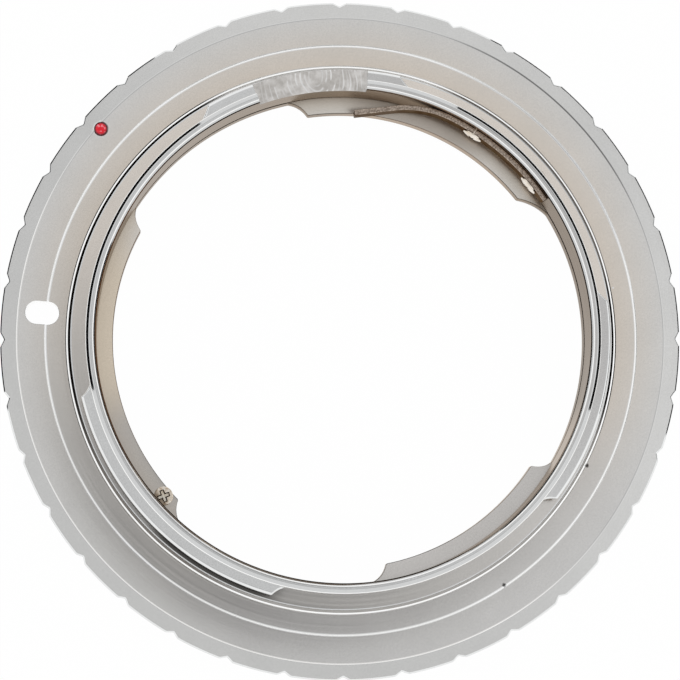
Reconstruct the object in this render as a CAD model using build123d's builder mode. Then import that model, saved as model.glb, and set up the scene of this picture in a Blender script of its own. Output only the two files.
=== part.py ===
"""Lens mount adapter: a plated ring that carries a lens bayonet inside a camera bayonet.

The ring lies on its lens seat, z = 0, with the optical axis along +Z and the camera
bayonet upwards. Angles are in degrees about +Z, from +X. All sizes are in millimetres.
"""

import os
from math import cos, degrees, radians, sin, sqrt

from build123d import *

os.makedirs("parts", exist_ok=True)

# Lens bayonet: bore and three inner lugs, with the run of each lug end along the bore
bore_diameter = 49.1
bore_chamfer = 0.3
lens_lug_height = 1.6
lens_lug_thickness = 1.9
lens_lug_hollow = 0.36
lens_lug_undercut = 0.3
lens_lug_undercut_height = 0.6
lens_lug_spans = (
    ((38.55, 98.1), (3.7, 2.2)),
    ((151.3, 224.35), (2.25, 2.2)),
    ((281.15, 326.25), (2.05, 1.9)),
)

# Camera bayonet: barrel, three lugs, with the run of each lug end along it, and centring register
barrel_wall = 1.06
barrel_above_lugs = 1.35
barrel_chamfer = 0.4
camera_lug_height = 1.09
camera_lug_gap = 2.6
camera_lug_thickness = 1.4
camera_lug_hollow = 0.12
camera_lug_bevel = 0.2
camera_lug_spans = (
    ((77.4, 120.3), (1.5, 1.6)),
    ((193.0, 254.2), (1.05, 1.15)),
    ((322.4, 367.45), (1.05, 1.6)),
)
register_step = 0.5
register_height = 0.5

# Flat milled across one camera lug and the barrel's rim
milled_flat_span = (84.5, 109.7)
milled_flat_drop = 0.35

# Flange between the lens seat and the camera flange
flange_thickness = 3.0
relief_width = 0.22
relief_depth = 0.4
land_width = 5.08
land_lip_width = 0.25
land_lip_drop = 0.04
bevel_width = 1.7
bevel_drop = 0.75
seat_edge_chamfer = 0.4
edge_break = 0.12

# Fine line turned into the camera flange
witness_line_offset = 2.23
witness_line_width = 0.3
witness_line_depth = 0.06

# Notches that give the fingers a grip on the rim
notch_count = 36
notch_width = 1.4
notch_depth = 0.4

# Slot for the camera's locking pin
lock_slot_angle = 175.0
lock_slot_inset = 2.4
lock_slot_length = 3.4
lock_slot_width = 2.3

# Red bead that marks how to turn the adapter in
bead_angle = 138.7
bead_inset = 0.4
bead_diameter = 1.36
bead_depth = 0.5
bead_crown = 0.14

# Leaf spring that bears on the mounted lens
leaf_thickness = 0.5
leaf_height = 2.2
leaf_below_rim = 1.0
leaf_foot_start_angle = 33.9
leaf_foot_end_angle = 63.7
leaf_curl_radius = 10.0
leaf_curl_angle = 33.0
leaf_tip_length = 4.0
leaf_slit_width = 0.2

# Screws that hold the leaf spring, with their axes along the radius
spring_screw_angles = (39.15, 57.1)
spring_screw_below_leaf_top = 0.85
spring_screw_head_diameter = 2.1
spring_screw_head_height = 0.32
spring_screw_stand_out = 0.27

# Screw that stops the lens at the end of its turn
stop_screw_angle = 221.3
stop_screw_wall = 0.32
stop_screw_head_diameter = 1.9
stop_screw_head_height = 0.55
stop_screw_recess_turn = 20.0

# What the three screws share
screw_thread_diameter = 1.0
screw_edge_break = 0.12
cross_length = 1.25
cross_width = 0.32
cross_depth = 0.2

# Clearances
thread_clearance = 0.02
seat_clearance = 0.03
leaf_hole_clearance = 0.05
cutter_overrun = 1.5

# Radii that follow from the sizes above, from the axis outwards
bore_radius = bore_diameter / 2
lens_lug_radius = bore_radius - lens_lug_height
barrel_radius = bore_radius + barrel_wall
camera_lug_radius = barrel_radius + camera_lug_height
register_radius = camera_lug_radius + register_step
land_bore_radius = register_radius + relief_width
witness_line_radius = land_bore_radius + witness_line_offset
land_radius = land_bore_radius + land_width
rim_radius = land_radius + bevel_width
lock_slot_radius = land_radius - lock_slot_inset
bead_axis_radius = land_radius - bead_inset

# Radii of the small pieces and of what they seat on
thread_radius = screw_thread_diameter / 2
spring_head_radius = spring_screw_head_diameter / 2
stop_head_radius = stop_screw_head_diameter / 2
bead_radius = bead_diameter / 2
leaf_outer_radius = bore_radius - seat_clearance
leaf_mid_radius = leaf_outer_radius - leaf_thickness / 2
leaf_inner_radius = leaf_outer_radius - leaf_thickness
spring_head_seat = sqrt(leaf_inner_radius**2 - spring_head_radius**2) - seat_clearance
stop_screw_radius = lens_lug_radius + stop_screw_wall + thread_radius + thread_clearance

# Heights above the lens seat
register_top = flange_thickness + register_height
camera_lug_floor = flange_thickness + camera_lug_gap
camera_lug_top = camera_lug_floor + camera_lug_thickness
barrel_top = camera_lug_top + barrel_above_lugs
milled_flat_level = camera_lug_top - milled_flat_drop
undercut_top = lens_lug_thickness + lens_lug_undercut_height
leaf_top = barrel_top - leaf_below_rim
leaf_floor = leaf_top - leaf_height
spring_screw_level = leaf_top - spring_screw_below_leaf_top


def polar(radius, angle, height=0.0):
    """Point at a radius from the axis, an angle about it and a height."""
    return Vector(radius * cos(radians(angle)), radius * sin(radians(angle)), height)


def facing_out(radius, angle, height):
    """Plane that looks away from the axis, with its own Y along +Z."""
    return Plane(origin=polar(radius, angle, height), x_dir=polar(1, angle + 90), z_dir=polar(1, angle))


def lug_end(root, tip, hollow):
    """Arc from a lug's root to its tip, hollowed into the lug as a round cutter leaves it."""
    chord = tip - root
    into_lug = Vector(chord.Y, -chord.X).normalized()
    return ThreePointArc(root, (root + tip) / 2 + into_lug * hollow, tip)


def lug_outline(root_radius, tip_radius, tip_span, runs, hollow):
    """Outline of one lug, from a root circle to a tip circle, with hollow ends."""
    start, end = tip_span
    root_start = start - degrees(runs[0] / root_radius)
    root_end = end + degrees(runs[1] / root_radius)
    inwards = 1 if tip_radius < root_radius else -1
    CenterArc((0, 0), root_radius, root_start, root_end - root_start)
    CenterArc((0, 0), tip_radius, start, end - start)
    lug_end(polar(root_radius, root_start), polar(tip_radius, start), hollow * inwards)
    lug_end(polar(root_radius, root_end), polar(tip_radius, end), -hollow * inwards)


def cross_recess():
    """Two crossed slots of a screw's driver recess."""
    Rectangle(cross_length, cross_width)
    Rectangle(cross_width, cross_length)


with BuildPart() as adapter_body:
    # Turned section of the flange, register, barrel and bore
    with BuildSketch(Plane.XZ):
        with BuildLine():
            Polyline(
                (bore_radius + edge_break, 0),
                (rim_radius - seat_edge_chamfer, 0),
                (rim_radius, seat_edge_chamfer),
                (rim_radius, flange_thickness - bevel_drop),
                (land_radius, flange_thickness),
                (witness_line_radius + witness_line_width / 2, flange_thickness),
                (witness_line_radius, flange_thickness - witness_line_depth),
                (witness_line_radius - witness_line_width / 2, flange_thickness),
                (land_bore_radius + land_lip_width, flange_thickness),
                (land_bore_radius, flange_thickness - land_lip_drop),
                (land_bore_radius, flange_thickness - relief_depth),
                (register_radius, flange_thickness - relief_depth),
                (register_radius, register_top - edge_break),
                (register_radius - edge_break, register_top),
                (barrel_radius, register_top),
                (barrel_radius, barrel_top - barrel_chamfer),
                (barrel_radius - barrel_chamfer, barrel_top),
                (bore_radius + bore_chamfer, barrel_top),
                (bore_radius, barrel_top - bore_chamfer),
                (bore_radius, undercut_top),
                (bore_radius + lens_lug_undercut, undercut_top),
                (bore_radius + lens_lug_undercut, lens_lug_thickness),
                (bore_radius, lens_lug_thickness),
                (bore_radius, edge_break),
                close=True,
            )
        make_face()
    revolve(axis=Axis.Z)

    # Camera lugs, standing out from the barrel
    with BuildSketch(Plane.XY.offset(camera_lug_floor)):
        for span, runs in camera_lug_spans:
            with BuildLine():
                lug_outline(barrel_radius, camera_lug_radius, span, runs, camera_lug_hollow)
            make_face()
    extrude(amount=camera_lug_thickness)
    lug_crests = adapter_body.edges().filter_by(GeomType.CIRCLE).filter_by(
        lambda edge: abs(edge.radius - camera_lug_radius) < edge_break
    )
    chamfer(lug_crests.group_by(Axis.Z)[-1], camera_lug_bevel)

    # Lens lugs, standing into the bore at the lens seat
    with BuildSketch(Plane.XY):
        for span, runs in lens_lug_spans:
            with BuildLine():
                lug_outline(bore_radius + edge_break, lens_lug_radius, span, runs, lens_lug_hollow)
            make_face()
    extrude(amount=lens_lug_thickness)

    # Grip notches all round the rim
    notch_slope = notch_width / 2 / notch_depth
    with BuildSketch(Plane.XY):
        with PolarLocations(rim_radius, notch_count):
            Polygon(
                (-notch_depth, 0),
                (notch_depth, -2 * notch_depth * notch_slope),
                (notch_depth, 2 * notch_depth * notch_slope),
                align=None,
            )
    extrude(amount=flange_thickness, mode=Mode.SUBTRACT)

    # Milled flat, open to both sides of the barrel
    flat_start, flat_end = milled_flat_span
    with BuildSketch(Plane.XY.offset(milled_flat_level)):
        Polygon(
            polar(lens_lug_radius, flat_start),
            polar(camera_lug_radius + cutter_overrun, flat_start),
            polar(camera_lug_radius + cutter_overrun, flat_end),
            polar(lens_lug_radius, flat_end),
            align=None,
        )
    extrude(amount=barrel_top - milled_flat_level, mode=Mode.SUBTRACT)

    # Slot for the locking pin, through the flange
    with BuildSketch(Plane.XY):
        with Locations(polar(lock_slot_radius, lock_slot_angle)):
            SlotOverall(lock_slot_length, lock_slot_width, rotation=lock_slot_angle)
    extrude(amount=flange_thickness, mode=Mode.SUBTRACT)

    # Seat of the index bead
    with BuildSketch(Plane.XY.offset(flange_thickness - bead_depth)):
        with Locations(polar(bead_axis_radius, bead_angle)):
            Circle(bead_radius + seat_clearance)
    extrude(amount=bead_depth, mode=Mode.SUBTRACT)

    # Tapped holes: two through the barrel's wall, one through a lens lug
    for angle in spring_screw_angles:
        with BuildSketch(facing_out(lens_lug_radius, angle, spring_screw_level)):
            Circle(thread_radius + thread_clearance)
        extrude(amount=register_radius - lens_lug_radius, mode=Mode.SUBTRACT)
    with BuildSketch(Plane.XY):
        with Locations(polar(stop_screw_radius, stop_screw_angle)):
            Circle(thread_radius + thread_clearance)
    extrude(amount=lens_lug_thickness, mode=Mode.SUBTRACT)
adapter_body.part.label = "adapter_body"
export_step(adapter_body.part, "parts/adapter_body.step")


with BuildPart() as leaf_spring:
    # Strip on edge: a foot along the bore, a curl away from it and a straight tip
    with BuildSketch(Plane.XY.offset(leaf_floor)):
        with BuildLine():
            foot_arc = leaf_foot_end_angle - leaf_foot_start_angle
            foot = CenterArc((0, 0), leaf_mid_radius, leaf_foot_start_angle, foot_arc)
            curl = JernArc(foot @ 1, foot % 1, leaf_curl_radius, leaf_curl_angle)
            Line(curl @ 1, curl @ 1 + (curl % 1) * leaf_tip_length)
        trace(line_width=leaf_thickness)
    extrude(amount=leaf_height)

    # Screw holes, the one nearer the arm slit open to the strip's edge
    for angle in spring_screw_angles:
        with BuildSketch(facing_out(lens_lug_radius, angle, spring_screw_level)):
            Circle(thread_radius + leaf_hole_clearance)
            if angle == max(spring_screw_angles):
                with Locations((0, leaf_height / 2)):
                    Rectangle(leaf_slit_width, leaf_height)
        extrude(amount=bore_radius - lens_lug_radius, mode=Mode.SUBTRACT)
leaf_spring.part.label = "leaf_spring"
export_step(leaf_spring.part, "parts/leaf_spring.step")


with BuildPart() as spring_screws:
    # Two low heads on the strip, with shanks that come through the barrel
    for angle in spring_screw_angles:
        head_face = spring_head_seat - spring_screw_head_height
        with BuildSketch(facing_out(head_face, angle, spring_screw_level)):
            Circle(spring_head_radius)
        extrude(amount=spring_screw_head_height)
        with BuildSketch(facing_out(spring_head_seat, angle, spring_screw_level)):
            Circle(thread_radius)
        extrude(amount=barrel_radius + spring_screw_stand_out - spring_head_seat)
    head_rims = spring_screws.edges().filter_by(GeomType.CIRCLE).filter_by(
        lambda edge: (edge.center() - Vector(0, 0, edge.center().Z)).length < spring_head_seat - edge_break
    )
    fillet(head_rims, screw_edge_break)
    for angle in spring_screw_angles:
        with BuildSketch(facing_out(head_face, angle, spring_screw_level)):
            cross_recess()
        extrude(amount=cross_depth, mode=Mode.SUBTRACT)
spring_screws.part.label = "spring_screws"
export_step(spring_screws.part, "parts/spring_screws.step")


with BuildPart() as stop_screw:
    # Round head on the lens lug, with its shank through the lug
    stop_axis = polar(stop_screw_radius, stop_screw_angle)
    with BuildSketch(Plane.XY.offset(edge_break)):
        with Locations(stop_axis):
            Circle(thread_radius)
    extrude(amount=lens_lug_thickness - edge_break)
    with BuildSketch(Plane.XY.offset(lens_lug_thickness)):
        with Locations(stop_axis):
            Circle(stop_head_radius)
    extrude(amount=stop_screw_head_height)
    fillet(stop_screw.edges().group_by(Axis.Z)[-1], screw_edge_break)
    with BuildSketch(Plane.XY.offset(lens_lug_thickness + stop_screw_head_height)):
        with Locations(Location(stop_axis, (0, 0, stop_screw_recess_turn))):
            cross_recess()
    extrude(amount=-cross_depth, mode=Mode.SUBTRACT)
stop_screw.part.label = "stop_screw"
export_step(stop_screw.part, "parts/stop_screw.step")


with BuildPart() as index_bead:
    # Enamel bead with a low crown, sunk in its seat
    bead_floor = polar(bead_axis_radius, bead_angle, flange_thickness - bead_depth)
    with BuildSketch(Plane(origin=bead_floor, x_dir=(1, 0, 0), z_dir=(0, -1, 0))):
        with BuildLine():
            Polyline((0, bead_depth + bead_crown), (0, 0), (bead_radius, 0), (bead_radius, bead_depth))
            crown_radius = (bead_radius**2 + bead_crown**2) / (2 * bead_crown)
            RadiusArc((bead_radius, bead_depth), (0, bead_depth + bead_crown), -crown_radius)
        make_face()
    revolve(axis=Axis(bead_floor, (0, 0, 1)))
index_bead.part.label = "index_bead"
export_step(index_bead.part, "parts/index_bead.step")
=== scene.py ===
"""Looks of the lens mount adapter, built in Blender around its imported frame.

The ring lies on its lens seat with the optical axis along +Z and the camera bayonet up,
as in the CAD model. Sizes are in millimetres and angles in degrees about +Z, from +X.
"""

import logging
from dataclasses import dataclass, field
from enum import IntEnum
from functools import cached_property
from math import cos, degrees, pi, radians, sin, sqrt, tan
from typing import Iterable, Optional, Sequence, Union

import bmesh
import bpy
import numpy as np
from mathutils import Matrix, Vector

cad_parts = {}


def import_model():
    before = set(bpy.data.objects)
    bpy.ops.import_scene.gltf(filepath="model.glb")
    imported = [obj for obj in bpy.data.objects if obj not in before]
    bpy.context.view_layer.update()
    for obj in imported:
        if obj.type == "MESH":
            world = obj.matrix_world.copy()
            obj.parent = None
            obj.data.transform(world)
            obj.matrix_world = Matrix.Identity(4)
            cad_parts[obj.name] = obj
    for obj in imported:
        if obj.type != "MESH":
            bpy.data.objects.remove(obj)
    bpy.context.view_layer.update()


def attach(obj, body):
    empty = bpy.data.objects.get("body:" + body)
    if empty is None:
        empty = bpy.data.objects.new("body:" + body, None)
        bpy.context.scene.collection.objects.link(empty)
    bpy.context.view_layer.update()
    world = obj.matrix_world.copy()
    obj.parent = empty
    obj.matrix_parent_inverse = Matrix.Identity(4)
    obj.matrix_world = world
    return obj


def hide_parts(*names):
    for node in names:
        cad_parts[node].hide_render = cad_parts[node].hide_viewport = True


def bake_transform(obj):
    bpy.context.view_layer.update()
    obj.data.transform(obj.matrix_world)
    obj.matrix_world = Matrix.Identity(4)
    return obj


MM = 0.001
CREASE = 42.0
SPRING_SCREW_ANGLES = (39.15, 57.1)
SPRING_SCREW_LEVEL = 6.5
# Radius and angle of the stop screw and of the bead
STOP_SCREW_AT = (23.79, 221.3)
BEAD_AT = (32.1, 138.7)
WHITE = "#FFFFFF"
LOG = logging.getLogger("lens_mount_adapter")
Feed = Union[bpy.types.Node, bpy.types.NodeSocket, float, Sequence[float]]
Feeds = Union[Sequence[Feed], dict[Union[str, int], Feed]]
Point = tuple[float, float]


def linear(colour: str) -> tuple[float, float, float, float]:
    """Turn an sRGB hex colour into linear RGBA.

    Args:
        colour: Six hex digits after a hash.

    Returns:
        The linear colour with an alpha of one.
    """
    parts = [int(colour[i : i + 2], 16) / 255 for i in (1, 3, 5)]
    r, g, b = (c / 12.92 if c <= 0.04045 else ((c + 0.055) / 1.055) ** 2.4 for c in parts)
    return (r, g, b, 1.0)


def feed(made: bpy.types.Node, feeds: Feeds) -> bpy.types.Node:
    """Set or link the inputs of a node.

    Args:
        made: The node.
        feeds: Inputs in order, or by name or number: a value, a socket, or a node whose result is linked.

    Returns:
        The node.
    """
    for key, value in feeds.items() if isinstance(feeds, dict) else enumerate(feeds):
        if isinstance(value, bpy.types.Node):
            value = next(socket for socket in value.outputs if socket.enabled)
        if isinstance(value, bpy.types.NodeSocket):
            made.id_data.links.new(value, made.inputs[key])
        else:
            made.inputs[key].default_value = value
    return made


def node(tree: bpy.types.NodeTree, kind: str, feeds: Feeds = (), **settings: object) -> bpy.types.Node:
    """Add a node, choose its options and feed its inputs.

    Args:
        tree: Tree that takes the node.
        kind: Blender's name for the kind of node, after "ShaderNode".
        feeds: What feed() takes.
        **settings: Options of the node itself.

    Returns:
        The new node.
    """
    made = tree.nodes.new("ShaderNode" + kind)
    for name, value in settings.items():
        setattr(made, name, value)
    return feed(made, feeds)


def polar(radius: float, angle: float, height: float = 0.0) -> Vector:
    """Point in metres at a radius, an angle and a height."""
    return Vector((radius * cos(radians(angle)), radius * sin(radians(angle)), height)) * MM


def eased(corners: list[Point], eases: list[float], steps: int) -> list[list[Point]]:
    """Round the corners of a closed outline.

    Args:
        corners: The outline's corners in order.
        eases: How far each rounding starts from its corner; zero keeps the corner.
        steps: How many spans make one rounding.

    Returns:
        For each corner, the points that take its place.
    """
    rounded = []
    for i, (corner, ease) in enumerate(zip(corners, eases)):
        here = np.array(corner)
        back = np.array(corners[i - 1]) - here
        ahead = np.array(corners[(i + 1) % len(corners)]) - here
        reach = min(ease, 0.45 * np.linalg.norm(back), 0.45 * np.linalg.norm(ahead))
        if ease == 0:
            rounded.append([corner])
            continue
        first = here + back / max(np.linalg.norm(back), 1e-9) * reach
        last = here + ahead / max(np.linalg.norm(ahead), 1e-9) * reach
        span = np.linspace(0, 1, steps + 1)
        rounded.append([tuple((1 - t) ** 2 * first + 2 * t * (1 - t) * here + t * t * last) for t in span])
    return rounded


def new_object(name: str, points: Iterable, faces: Iterable, shades: Optional[list[int]] = None) -> bpy.types.Object:
    """Make a mesh object and merge the points that fall together.

    Args:
        name: Name of the object and its mesh.
        points: Points in metres.
        faces: Point numbers of each face.
        shades: Material slot of each face.

    Returns:
        The object, linked to the scene.
    """
    mesh = bpy.data.meshes.new(name)
    mesh.from_pydata(points, [], faces)
    if shades is not None:
        mesh.polygons.foreach_set("material_index", shades)
    shape = bmesh.new()
    shape.from_mesh(mesh)
    bmesh.ops.remove_doubles(shape, verts=shape.verts, dist=0.0005 * MM)
    bmesh.ops.recalc_face_normals(shape, faces=shape.faces)
    shape.to_mesh(mesh)
    shape.free()
    made = bpy.data.objects.new(name, mesh)
    bpy.context.scene.collection.objects.link(made)
    return made


def bake_modifiers(thing: bpy.types.Object) -> None:
    """Fix an object's modifiers into its mesh."""
    bpy.context.view_layer.update()
    mesh = bpy.data.meshes.new_from_object(thing.evaluated_get(bpy.context.evaluated_depsgraph_get()))
    thing.modifiers.clear()
    thing.data = mesh


def cut(thing: bpy.types.Object, cutter: bpy.types.Object) -> None:
    """Take a cutter away from an object, and then take away the cutter."""
    knife = thing.modifiers.new("cut", "BOOLEAN")
    knife.object = cutter
    knife.solver = "EXACT"
    knife.material_mode = "INDEX"
    bake_modifiers(thing)
    bpy.data.objects.remove(cutter)


def shade(thing: bpy.types.Object, crease: float) -> None:
    """Shade an object smooth, with creases kept and flats kept flat.

    Args:
        thing: Object to shade.
        crease: Angle in degrees above which an edge stays sharp.
    """
    thing.data.shade_smooth()
    thing.data.set_sharp_from_angle(angle=radians(crease))
    weigh = thing.modifiers.new("weigh", "WEIGHTED_NORMAL")
    weigh.keep_sharp = True
    bake_modifiers(thing)


def tube(rings: list[list[Vector]], shade_slot: int = 0) -> tuple[list[Vector], list[list[int]], list[int]]:
    """Skin rings of points into a closed tube with flat ends.

    Args:
        rings: Rings with equal counts of points.
        shade_slot: Material slot of all faces.

    Returns:
        Points, faces and the material slot of each face.
    """
    count = len(rings[0])
    points = [p for ring in rings for p in ring]
    faces = [
        [k * count + i, k * count + (i + 1) % count, (k + 1) * count + (i + 1) % count, (k + 1) * count + i]
        for k in range(len(rings) - 1)
        for i in range(count)
    ]
    faces.append(list(range(count))[::-1])
    faces.append([(len(rings) - 1) * count + i for i in range(count)])
    return points, faces, [shade_slot] * len(faces)


def lathe(section: list[Point], count: int) -> tuple[list[Vector], list[list[int]]]:
    """Turn an open section, from axis to axis, about Z.

    Args:
        section: Radius and height of each point, in millimetres.
        count: How many steps make the turn.

    Returns:
        Points in metres, and faces.
    """
    points = [polar(r, 360 * k / count, z) for k in range(count) for r, z in section]
    size = len(section)
    faces = [
        [k * size + i, ((k + 1) % count) * size + i, ((k + 1) % count) * size + i + 1, k * size + i + 1]
        for k in range(count)
        for i in range(size - 1)
    ]
    return points, faces


class Zone(IntEnum):
    """Surfaces of the ring that differ in finish, numbered as its material slots."""

    SEAT = 0
    RIM = 1
    BEVEL = 2
    LAND = 3
    LINE = 4
    GROOVE = 5
    REGISTER = 6
    BAYONET = 7
    BORE = 8
    LENS_LUG = 9
    MILLED = 10
    LUG_TOP = 11
    CHAMFER = 12
    # Painted shade: corners and walls where shade falls, darkened
    STAINED = 13
    BEVEL_LINE = 14


class Surface:
    """Node tree of one material, with the coordinates that its patterns share."""

    def __init__(self, name: str, feeds: Feeds) -> None:
        """Start a material with what is the same all over it.

        Args:
            name: Name of the material.
            feeds: Values of the shader's own inputs, by name.
        """
        self.material = bpy.data.materials.new(name)
        self.material.use_nodes = True
        self.tree = self.material.node_tree
        self.shader = feed(self.tree.nodes["Principled BSDF"], feeds)

    @classmethod
    def metal(cls, name: str, colour: str, roughness: float, grazing: str = WHITE) -> "Surface":
        """Start a metal with its colour and gloss.

        Args:
            name: Name of the material.
            colour: sRGB hex colour of the clean metal.
            roughness: Roughness of the clean metal.
            grazing: sRGB hex tint of what it mirrors at a grazing look, dark for a dulled skin and dark too where it
                paints shade on walls seen edge on.

        Returns:
            The metal, all of one tone.
        """
        feeds = {"Base Color": linear(colour), "Roughness": roughness, "Specular Tint": linear(grazing)}
        return cls(name, {"Metallic": 1.0, **feeds})

    def add(self, kind: str, feeds: Feeds = (), **settings: object) -> bpy.types.Node:
        """Add a node to this material's tree."""
        return node(self.tree, kind, feeds, **settings)

    @cached_property
    def place(self) -> bpy.types.NodeSocket:
        """Where a point of the surface is, in metres."""
        return self.add("TexCoord").outputs["Object"]

    @cached_property
    def flat(self) -> bpy.types.Node:
        """The same without its height."""
        return self.add("VectorMath", (self.place, (1, 1, 0)), operation="MULTIPLY")

    @cached_property
    def radius(self) -> bpy.types.Node:
        """Distance from the optical axis, in metres."""
        return self.add("VectorMath", (self.flat,), operation="LENGTH")

    @cached_property
    def outwards(self) -> bpy.types.Node:
        """Direction away from the optical axis."""
        return self.add("VectorMath", (self.flat,), operation="NORMALIZE")

    def turned_place(self, pitch: float, run: float) -> bpy.types.Node:
        """Coordinates drawn out along the lathe's turn.

        Args:
            pitch: Spacing of the tool's marks across the turn, in millimetres.
            run: How long a mark is along the turn, in degrees.

        Returns:
            A vector whose unit is one mark.
        """
        parts = self.add("SeparateXYZ", (self.place,)).outputs
        sweep = self.add("Math", (parts[1], parts[0]), operation="ARCTAN2")
        units = ((self.radius, pitch * MM), (sweep, radians(run)), (parts[2], pitch * MM))
        return self.add("CombineXYZ", [self.add("Math", (a, 1 / size), operation="MULTIPLY") for a, size in units])

    def cloud(
        self, size: float, detail: float, spread: Point = (0.35, 0.65), span: Point = (0.0, 1.0)
    ) -> bpy.types.Node:
        """Patches that come and go over the surface.

        Args:
            size: How wide a patch is, in millimetres.
            detail: How ragged the patches are.
            spread: Share of the pattern at which a patch starts and is full.
            span: Values there.

        Returns:
            The value at each point.
        """
        noise = self.add("TexNoise", {"Vector": self.place, "Scale": 1 / (size * MM), "Detail": detail})
        return self.add("MapRange", (noise, *spread, *span))


@dataclass(frozen=True)
class Mark:
    """Small mark on the plate: a dark chip, a bright nick, and also the painted highlight round the bead."""

    radius: float
    angle: float
    height: float
    reach: float
    colour: str = "#1E1A17"
    raggedness: float = 0.15
    strength: float = 0.92


@dataclass(frozen=True)
class PaintedSideTone:
    """Light or shade painted onto the plate on one side of the ring, as a tone, and how far round from there it
    reaches.
    """

    angle: float
    colour: str
    full: float
    end: float
    share: float = 1.0


@dataclass(frozen=True)
class TurnedNickel:
    """Nickel plate over turned brass: fine rings left by the lathe, softened by the plating."""

    name: str
    colour: str
    roughness: float
    inner: Optional[str] = None
    relief: float = 0.0006
    colour_from: float = 27.6
    colour_to: float = 34.2
    grain: float = 0.03
    grazing: str = WHITE
    marks: tuple[Mark, ...] = ()
    # Tones of light and shade painted onto one side of the ring each
    sides: tuple[PaintedSideTone, ...] = ()
    # Real tool marks are near 0.05 mm apart; they are drawn coarser so that they show
    pitch: float = 0.3
    run: float = 40.0
    gloss_change: float = 0.15
    cloud_size: float = 4.0
    cloud_depth: float = 0.025
    grain_size: float = 0.16
    spread: Point = (0.25, 0.75)

    def material(self) -> bpy.types.Material:
        """Make the material.

        Returns:
            A plated metal whose tone warms towards the axis, with faint tool rings, clouding, and light and shade
            painted on some sides.
        """
        metal = Surface.metal(self.name, self.colour, self.roughness, self.grazing)
        blend = metal.add("MapRange", (metal.radius, self.colour_from * MM, self.colour_to * MM))
        tones = {6: linear(self.inner or self.colour), 7: linear(self.colour)}
        colour = metal.add("Mix", {0: blend, **tones}, data_type="RGBA")
        # Paint light and shade onto the sides of the ring
        for side in self.sides:
            colour = self.paint_side_tone(metal, colour, side)
        # Clouding of the plate, a few millimetres across, and the fine grain of its satin
        for size, depth in ((self.cloud_size, self.cloud_depth), (self.grain_size, self.grain)):
            dulling = metal.cloud(size, 3.0, self.spread, (1 - depth, 1 + depth))
            colour = metal.add("Mix", {0: 1.0, 6: colour, 7: dulling}, data_type="RGBA", blend_type="MULTIPLY")
        for mark in self.marks:
            colour = self.marked(metal, colour, mark)
        turned = metal.turned_place(self.pitch, self.run)
        rings = metal.add("TexNoise", {"Vector": turned, "Scale": 1.0, "Detail": 2.0})
        ends = (self.roughness * (1 - self.gloss_change), self.roughness * (1 + self.gloss_change))
        gloss = metal.add("MapRange", (rings, *self.spread, *ends))
        bump = metal.add("Bump", {"Strength": 1.0, "Distance": self.relief * MM, "Height": rings})
        feed(metal.shader, {"Base Color": colour, "Roughness": gloss, "Normal": bump})
        return metal.material

    @staticmethod
    def paint_side_tone(metal: Surface, colour: Feed, side: PaintedSideTone) -> bpy.types.Node:
        """Paint a tone of light or shade onto one side of the ring.

        Args:
            metal: Metal that takes the painted light or shade.
            colour: Colour without it.
            side: The tone and where it lies.

        Returns:
            The colour with the painted light or shade.
        """
        facing = metal.add("VectorMath", (metal.outwards, polar(1.0, side.angle) / MM), operation="DOT_PRODUCT")
        far, near = cos(radians(side.end)), cos(radians(side.full))
        mask = metal.add("MapRange", (facing, far, near, 0.0, side.share), interpolation_type="SMOOTHSTEP")
        return metal.add("Mix", {0: mask, 6: colour, 7: linear(side.colour)}, data_type="RGBA")

    @staticmethod
    def marked(metal: Surface, colour: Feed, mark: Mark) -> bpy.types.Node:
        """Put a small mark on the plate, a blemish or a painted highlight.

        Args:
            metal: Metal that has the mark.
            colour: Colour without it.
            mark: The mark.

        Returns:
            The colour with the mark.
        """
        reach = mark.reach * MM
        centre = polar(mark.radius, mark.angle, mark.height)
        away = metal.add("VectorMath", (metal.place, centre), operation="DISTANCE")
        ragged = metal.cloud(mark.raggedness, 1.0, (0.0, 1.0), (0.0, 0.5 * reach))
        torn = metal.add("Math", (ragged, away), operation="ADD")
        edge = metal.add("MapRange", (torn, 0.55 * reach, reach, mark.strength, 0.0))
        return metal.add("Mix", {0: edge, 6: colour, 7: linear(mark.colour)}, data_type="RGBA")


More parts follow.
